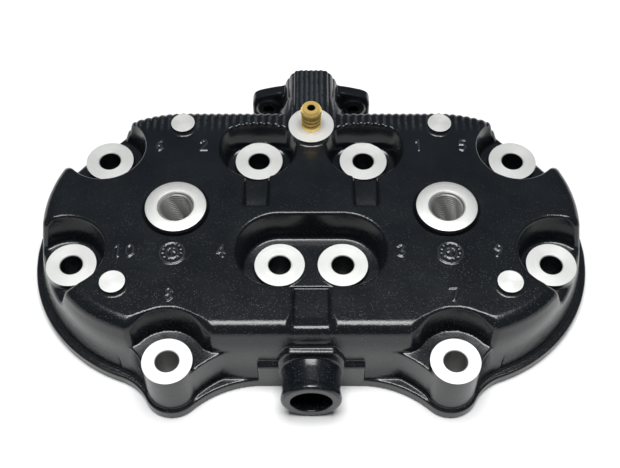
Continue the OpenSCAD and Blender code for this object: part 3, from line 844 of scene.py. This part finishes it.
class Finish:
    def __init__(self, name):
        self.material = bpy.data.materials.new(name)
        self.material.use_nodes = True
        self.tree = self.material.node_tree
        self.shader = self.tree.nodes["Principled BSDF"]
        place = self.add("ShaderNodeTexCoord", output="Object")
        # coordinates in millimetres
        self.place = self.add("ShaderNodeVectorMath", {"operation": "SCALE"}, {0: place, "Scale": 1 / mm})

    def add(self, kind, settings=None, sockets=None, output=0):
        node = self.tree.nodes.new(kind)
        for name, value in (settings or {}).items():
            setattr(node, name, value)
        for key, value in (sockets or {}).items():
            self.feed(node.inputs[key], value)
        return Wire(node.outputs[output])

    def feed(self, socket, value):
        if isinstance(value, Wire):
            self.tree.links.new(value.socket, socket)
        elif socket.type == "RGBA":
            socket.default_value = (*value, 1.0)
        else:
            socket.default_value = value

    def position(self, axis):
        return self.add("ShaderNodeSeparateXYZ", {}, {0: self.place}, axis)

    def noise(self, size, detail=2.0, roughness=0.5, stretch=None):
        place = self.place
        if stretch:
            place = self.add("ShaderNodeVectorMath", {"operation": "MULTIPLY"}, {0: place, 1: stretch})
        return self.add("ShaderNodeTexNoise", {}, {
            "Vector": place, "Scale": 1 / size, "Detail": detail, "Roughness": roughness})

    # distance to the nearest of some scattered points
    def cells(self, size):
        return self.add("ShaderNodeTexVoronoi", {}, {"Vector": self.place, "Scale": 1 / size}, "Distance")

    def blend(self, mask, first, second):
        return self.add("ShaderNodeMix", {"data_type": "RGBA"}, {0: mask, 6: first, 7: second}, output=2)

    def bump(self, height, depth, strength=1.0, below=None):
        sockets = {"Height": height, "Distance": depth * mm, "Strength": strength}
        if below:
            sockets["Normal"] = below
        return self.add("ShaderNodeBump", {}, sockets)

    def set(self, **sockets):
        for name, value in sockets.items():
            self.feed(self.shader.inputs[name.replace("_", " ")], value)
        return self.material


coating = {
    "colour": (0.0045, 0.0058, 0.008),
    "dusty": (0.009, 0.011, 0.0135),
    # painted glints: light specks standing in for highlights off the cast grain
    "speck": (0.085, 0.09, 0.095),
    "worn": (0.042, 0.046, 0.052),  # painted highlight on the crests of the ribs and of the raised marks
    "roughness": 0.21,
    "grain": 0.034,  # mm, height of the cast grain under the coating
    "peel": 0.05,
    "speckSpacing": 0.85,  # mm
}


def coatingFinish():
    look = Finish("black_coating")
    patches = look.noise(14.0, 3.0)
    grain = look.noise(0.6, 2.0, 0.6)
    peel = look.noise(2.2, 2.0)
    # the front half of the casting is grainier than the back, and carries the painted glints
    across, forward, height = (look.position(axis) for axis in "XYZ")
    coarse = (forward * -0.012 + 0.45).clamp()
    # painted highlight on the crests: the ribs at the back, the finer ones on the hump, and the raised marks
    wide = across.maths("SINE", across * (2 * math.pi / casting["shoulderRib"]))
    fine = across.maths("SINE", across * (2 * math.pi / casting["humpRib"]))
    onHump = (9.5 - across.maths("ABSOLUTE", across)).clamp() * (forward * 0.25 - 11.0).clamp()
    stripes = (wide * (1.0 - onHump) + fine * onHump) * 1.5
    onShoulder = ((height * 0.25 - 8.5).clamp() + (forward * 0.25 - 12.0).clamp()).clamp()
    offEars = ((68.0 - forward).clamp() + onHump).clamp()
    atBack = (forward * 0.2 - 8.2).clamp() * onShoulder * offEars
    paintedCrestMask = stripes.clamp() * atBack * (look.noise(1.6, 3.0) * 2.6 - 0.7).clamp()
    raised = (height * 4.0 - (casting["topHeight"] + 0.1) * 4.0).clamp()
    # painted glints: small bright points, one to a cell, stronger in some patches than in others
    paintedGlints = ((0.26 - look.cells(coating["speckSpacing"])) * 9.0).clamp()
    paintedGlints = paintedGlints * (look.noise(4.0, 2.0) * 2.4 - 0.7).clamp()
    colour = look.blend((patches * 1.6 - 0.4).clamp(), coating["colour"], coating["dusty"])
    colour = look.blend(paintedGlints * coarse, colour, coating["speck"])
    # painted highlight blended into the colour over the rib crests and the raised marks
    colour = look.blend((paintedCrestMask + raised * 0.45).clamp(), colour, coating["worn"])
    wavy = look.bump(peel, coating["peel"])
    grainy = look.bump(grain * (coarse + 0.5), coating["grain"], 1.0, wavy)
    roughness = (patches + grain) * 0.08 + (coating["roughness"] - 0.08)
    return look.set(Base_Color=colour, Roughness=roughness, Normal=grainy)


turned = {
    "colour": (0.77, 0.775, 0.76),
    "darker": (0.6, 0.605, 0.595),
    "inside": (0.34, 0.34, 0.33),  # painted shade in holes and threads
    "roughness": 0.5,
    "pitch": 0.3,
    "ringDepth": 0.07,
    "scratchDepth": 0.008,
}


# Rings round each axis: the meshes carry the distance from the nearest one as "turned"
def turnedFinish():
    look = Finish("turned_aluminium")
    radius = look.add("ShaderNodeAttribute", {"attribute_name": "turned"}, output="Fac")
    rings = look.add("ShaderNodeTexNoise", {"noise_dimensions": "1D"}, {
        "W": radius, "Scale": 1 / turned["pitch"], "Detail": 3.0, "Roughness": 0.6})
    smudge = look.noise(5.0, 3.0)
    scratch = look.noise(0.4, 2.0, 0.6)
    colour = look.blend((rings * 0.8 + smudge * 0.5 - 0.3).clamp(), turned["colour"], turned["darker"])
    # painted shade from the mesh attribute darkens holes and threads
    inside = look.add("ShaderNodeAttribute", {"attribute_name": "inside"}, output="Fac")
    colour = look.blend((inside * 0.85).clamp(), colour, turned["inside"])
    ringed = look.bump(rings, turned["ringDepth"])
    scratched = look.bump(scratch, turned["scratchDepth"], 1.0, ringed)
    roughness = rings * 0.18 + smudge * 0.14 + (turned["roughness"] - 0.1)
    return look.set(Base_Color=colour, Metallic=1.0, Roughness=roughness, Normal=scratched)


def metalFinish(name, colour, darker, roughness, grainSize=0.35, metallic=1.0, stretch=None):
    look = Finish(name)
    patches = look.noise(3.5, 3.0)
    grain = look.noise(grainSize, 3.0, 0.6, stretch)
    tint = look.blend((patches * 0.9 + grain * 0.5 - 0.2).clamp(), colour, darker)
    uneven = patches * 0.12 + grain * 0.14 + (roughness - 0.13)
    return look.set(Base_Color=tint, Metallic=metallic, Roughness=uneven, Normal=look.bump(grain, 0.012))


def rubberFinish():
    look = Finish("moulded_rubber")
    bloom = look.noise(2.2, 4.0, 0.65)
    grain = look.noise(0.25, 2.0)
    tint = look.blend((bloom * 1.8 - 0.6).clamp(), (0.012, 0.012, 0.012), (0.035, 0.034, 0.033))
    return look.set(Base_Color=tint, Roughness=bloom * 0.22 + 0.45, Normal=look.bump(grain, 0.02))


finishes = {
    "coated": coatingFinish(),
    "turned": turnedFinish(),
    # painted shade: dark brass for the nipple's narrow bore
    "tarnished": metalFinish("tarnished_bore", (0.1, 0.065, 0.025), (0.05, 0.032, 0.014), 0.6),
    "brass": metalFinish("turned_brass", (1.0, 0.74, 0.26), (0.84, 0.56, 0.14), 0.26, 0.3, 0.6,
                         (0.2, 0.2, 5.0)),
    "steel": metalFinish("pressed_stainless", (0.66, 0.64, 0.6), (0.5, 0.48, 0.45), 0.34, 0.3,
                         stretch=(6.0, 1.0, 1.0)),
    "spring": metalFinish("drawn_steel", (0.5, 0.5, 0.52), (0.36, 0.36, 0.38), 0.28, 0.2),
    "rubber": rubberFinish(),
}
print("finishes: done")

def buildCover():
    cover = buildCasting()
    cover.data.materials.clear()
    cover.data.materials.append(finishes["coated"])
    cover.data.materials.append(finishes["turned"])
    markMachining(cover)
    smooth(cover, 34)
    flatten = cover.modifiers.new("even flats", "WEIGHTED_NORMAL")
    flatten.keep_sharp = True
    applyModifiers(cover)
    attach(cover, "head")
    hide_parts("head_casting")


buildCover()
print("cast cover: done")

dome = {
    "neckRadius": 12.55,
    "threadRadius": 7.0,
    "coreRadius": 6.33,
    "threadPitch": 1.25,
    "threadRows": 6,  # mesh rows in a turn of thread
    "seatChamfer": 1.25,
    "bowlRadius": 21.2,
    "crownRadius": 29.0,
    "bowlCentre": -0.5,
    "sealTop": 32.8,  # upper edge of the neck's seal groove
    "sealBottom": 30.2,
    "sealDepth": 1.7,
    "seat": 27.0,  # height of the shoulder under the neck
    "seatRadius": 16.2,
    "crownEnd": 16.5,
    "rimTop": 8.5,
    "rimRadius": 36.8,
    "grooveInner": 33.5,  # of the seal under the rim
    "grooveOuter": 35.7,
    "grooveDepth": 1.6,
    "squish": [(32.0, 0.0), (21.6, 2.25)],
}


def archPoints(centreHeight, radius, start, end, count):
    turns = np.linspace(start, end, count)
    return [(radius * math.cos(a), centreHeight + radius * math.sin(a)) for a in turns]


def domeMesh(top):
    core = dome["coreRadius"]
    bowl = dome["bowlRadius"]
    centre = dome["bowlCentre"]
    crown = dome["crownRadius"]
    neck = dome["neckRadius"]
    seat, sealTop, sealBottom = dome["seat"], dome["sealTop"], dome["sealBottom"]
    low = centre + math.sqrt(bowl ** 2 - core ** 2)
    high = top - dome["seatChamfer"]
    rows = int((high - low) / dome["threadPitch"] * dome["threadRows"])
    start = math.asin((2.4 - centre) / bowl)
    bowlPoints = archPoints(centre, bowl, start, math.acos(core / bowl), 26)
    crownStart = math.acos(dome["crownEnd"] / crown)
    crownStop = math.asin((dome["rimTop"] - centre) / crown)
    profile = [(dome["grooveInner"], dome["grooveDepth"]), (dome["grooveInner"], 0.0)] + dome["squish"]
    profile += bowlPoints
    profile += [(core, h) for h in np.linspace(low, high, rows + 1)[1:]]
    profile += [
        (core + 0.75, top - 0.45), (core + dome["seatChamfer"], top), (neck - 0.45, top),
        (neck - 0.12, top - 0.14), (neck, top - 0.5), (neck, sealTop), (neck - dome["sealDepth"], sealTop),
        (neck - dome["sealDepth"], sealBottom), (neck, sealBottom), (neck, seat), (dome["seatRadius"], seat)]
    profile += archPoints(centre, crown, crownStart, crownStop, 14)
    rim, rimTop, groove = dome["rimRadius"], dome["rimTop"], dome["grooveOuter"]
    profile += [(rim - 0.4, rimTop), (rim, rimTop - 0.4), (rim, 0.0), (groove, 0.0),
                (groove, dome["grooveDepth"])]

    def thread(radius, height, angles):
        if not (low < height < high + 0.01 and abs(radius - core) < 0.01):
            return 0.0
        phase = (height / dome["threadPitch"] - angles / (2 * math.pi)) % 1.0
        tooth = 1 - np.abs(2 * phase - 1)  # 0 at the crest, 1 at the root
        depth = dome["threadRadius"] - core
        fade = min(1.0, (height - low) / 1.2)
        return depth * np.clip(tooth * 1.25 - 0.12, 0, 1) * fade

    return turnedMesh(profile, 120, closed=True, wobble=thread)


def buildDome(side, sign):
    node = f"{side}_dome"
    points, faces = domeMesh(boxOf(node)[1][2])
    place = np.array([sign * axisX, 0, 0])
    piece = meshObject(f"{side}_combustion_dome", (points + place) * mm, faces, finishes["turned"])
    facesOutwards(piece)
    radius = np.hypot(points[:, 0], points[:, 1]).astype(np.float32)
    mark = piece.data.attributes.new("turned", "FLOAT", "POINT")
    mark.data.foreach_set("value", radius)
    # painted shade: the bore is darker, most of all in the roots of its thread
    depth = np.clip((radius - dome["coreRadius"]) / (dome["threadRadius"] - dome["coreRadius"]), 0, 1)
    bore = (radius < dome["threadRadius"] + 0.02) & (points[:, 2] > dome["bowlRadius"] - 1.5)
    mark = piece.data.attributes.new("inside", "FLOAT", "POINT")
    mark.data.foreach_set("value", (bore * (0.55 + 0.75 * depth)).astype(np.float32))
    # the neck's side above the seal groove gets the black coating, so it shows dark
    piece.data.materials.append(finishes["coated"])
    for face in piece.data.polygons:
        fromAxis = math.hypot(face.center.x / mm - sign * axisX, face.center.y / mm)
        onNeck = fromAxis > dome["neckRadius"] - 0.3 and face.center.z / mm > dome["sealTop"]
        face.material_index = int(onNeck and abs(face.normal.z) < 0.7)
    smooth(piece, 30)
    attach(piece, "head")
    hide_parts(node)


buildDome("left", -1)
buildDome("right", 1)
print("combustion domes: done")

nipple = {
    "bore": 1.7,
    "shank": 4.0,
    "base": 4.25,
    "waist": 3.45,
    "barb": 4.6,
    "flare": 0.25,
    "threadRow": 0.2,  # height of one row of the shank's thread, four to a turn
    "threadDepths": (0.0, 0.18, 0.35, 0.18),
    "ribs": (0.22, 0.40, 0.58),  # where each rib starts, as a share of the height above the boss
}


def buildNipple():
    low, high = boxOf("bleed_nipple")
    bore, shank, base = nipple["bore"], nipple["shank"], nipple["base"]
    waist, barb = nipple["waist"], nipple["barb"]
    foot = low[2] + bleedThread
    tall = high[2] - foot
    profile = [(bore, low[2]), (shank - 0.5, low[2]), (shank, low[2] + 0.5)]
    for i in range(40):
        height = low[2] + 1 + i * nipple["threadRow"]
        if height < foot - 0.4:
            profile.append((shank - nipple["threadDepths"][i % 4], height))
    # the rest by radius and share of the height above the boss
    above = [(base, 0.15), (base - 0.25, 0.18)]
    for start in nipple["ribs"]:  # each rises outwards to a sharp back edge
        above += [(waist, start), (waist + 0.1, start + 0.02), (base - 0.1, start + 0.10),
                  (base, start + 0.12), (base - 0.12, start + 0.135)]
    above += [(waist + 0.15, 0.75), (barb - 0.15, 0.775), (barb, 0.795), (barb - 0.05, 0.84),
              (waist + 0.35, 0.975)]
    profile += [(shank, foot), (base, foot + 0.02)]
    profile += [(radius, foot + tall * share) for radius, share in above]
    profile += [(waist + 0.1, high[2]), (bore + nipple["flare"], high[2]), (bore, high[2] - 0.3)]
    points, faces = turnedMesh(profile, 72, closed=True)
    place = np.array([0, bleedPlace[1], 0])
    piece = meshObject("barbed_nipple", (points + place) * mm, faces, finishes["brass"])
    piece.data.materials.append(finishes["tarnished"])
    # the bore's faces take the dark brass of the painted shade
    for face in piece.data.polygons:
        fromAxis = math.hypot(face.center.x / mm, face.center.y / mm - bleedPlace[1])
        face.material_index = int(fromAxis < nipple["bore"] + 0.05)
    facesOutwards(piece)
    smooth(piece, 28)
    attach(piece, "head")
    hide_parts("bleed_nipple")


buildNipple()
print("bleed nipple: done")

spring = {
    "wire": 0.6,  # radius of the wire
    "radius": 7.0,
    "turns": 4.5,
    "stepsPerTurn": 40,
    "sides": 14,
    "flatShare": 0.14,  # share of the wire in each end turn, which lies flat
    "flatRise": 0.035,
    "keep": 0.49,  # share of its length left when the valve is fully open
}


def buildSpring():
    low, high = boxOf("thermostat_spring")
    wire, sides = spring["wire"], spring["sides"]
    start, end = low[1] + wire, high[1] - wire
    steps = int(spring["turns"] * spring["stepsPerTurn"])
    flat, rise = spring["flatShare"], spring["flatRise"]
    points, faces = [], []
    for i in range(steps + 1):
        share = i / steps
        travel = np.interp(share, [0, flat, 1 - flat, 1], [0, rise, 1 - rise, 1])
        turn = 2 * math.pi * spring["turns"] * share
        for k in range(sides):
            around = 2 * math.pi * k / sides
            radius = spring["radius"] + wire * math.cos(around)
            points.append((radius * math.cos(turn), start + (end - start) * travel + wire * math.sin(around),
                           housingHeight + radius * math.sin(turn)))
    for i in range(steps):
        for k in range(sides):
            n = (k + 1) % sides
            faces.append((i * sides + k, i * sides + n, (i + 1) * sides + n, (i + 1) * sides + k))
    faces.append(tuple(range(sides - 1, -1, -1)))
    faces.append(tuple(steps * sides + k for k in range(sides)))
    piece = meshObject("return_spring", np.array(points) * mm, faces, finishes["spring"])
    facesOutwards(piece)
    smooth(piece, 40)
    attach(piece, "head")
    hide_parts("thermostat_spring")
    anchor = (0, low[1] * mm, housingHeight * mm)
    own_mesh(piece)


buildSpring()
print("thermostat spring: done")

# CAD nodes that stay, by finish
kept = {
    "thermostat_plate": "steel",
    "thermostat_bridge": "steel",
    "thermostat_cage": "steel",
    "thermostat_valve": "steel",
    "thermostat_capsule": "brass",
    "thermostat_jiggle_pin": "brass",
    "thermostat_piston": "spring",
    "thermostat_seal": "rubber",
    "deck_seal": "rubber",
}
kept.update({name: "rubber" for name in frame["nodes"] if name.endswith("_oring")})
for name, finish in kept.items():
    node = frame["nodes"][name]
    node.data.materials.clear()
    node.data.materials.append(finishes[finish])
print("kept nodes: finishes set on", len(kept))

studio = {
    "down": 55.0,  # degrees that the camera looks down
    "target": (-0.5, -4.5, 26.0),
    "distance": 429.9,
    "lens": 60.4,
    "room": 0.10,
    "roomColour": (0.93, 0.97, 1.0),
    "softboxPower": 13.0,
    "softboxSize": (0.62, 0.5),
    "softboxHeight": 1.0,
    "softboxY": -0.05,
}


def buildStudio():
    floor = meshObject("floor", [(-3, -3, 0), (3, -3, 0), (3, 3, 0), (-3, 3, 0)], [(0, 1, 2, 3)])
    look = Finish("white_table")
    paper = look.noise(40.0, 3.0)
    look.set(Base_Color=look.blend(paper, (0.9, 0.9, 0.9), (0.93, 0.93, 0.93)), Roughness=0.8 + paper * 0.1)
    floor.data.materials.append(look.material)
    floor.location.z = -0.0002

    world = bpy.data.worlds.new("room")
    bpy.context.scene.world = world
    world.use_nodes = True
    air = world.node_tree.nodes["Background"]
    air.inputs["Color"].default_value = (*studio["roomColour"], 1)
    air.inputs["Strength"].default_value = studio["room"]

    lamp = bpy.data.lights.new("softbox", "AREA")
    lamp.shape = "RECTANGLE"
    lamp.size, lamp.size_y = studio["softboxSize"]
    lamp.energy = studio["softboxPower"]
    box = bpy.data.objects.new("softbox", lamp)
    box.location = (0, studio["softboxY"], studio["softboxHeight"])
    bpy.context.scene.collection.objects.link(box)

    camera = bpy.data.cameras.new("camera")
    camera.lens = studio["lens"]
    camera.clip_start = 0.01
    viewer = bpy.data.objects.new("camera", camera)
    down = math.radians(studio["down"])
    reach = studio["distance"] * mm
    target = Vector(studio["target"]) * mm
    viewer.location = target + Vector((0, -reach * math.cos(down), reach * math.sin(down)))
    viewer.rotation_euler = (math.pi / 2 - down, 0, 0)
    bpy.context.scene.collection.objects.link(viewer)
    bpy.context.scene.camera = viewer
    bpy.context.scene.view_settings.view_transform = "Standard"


buildStudio()
print("studio: done")
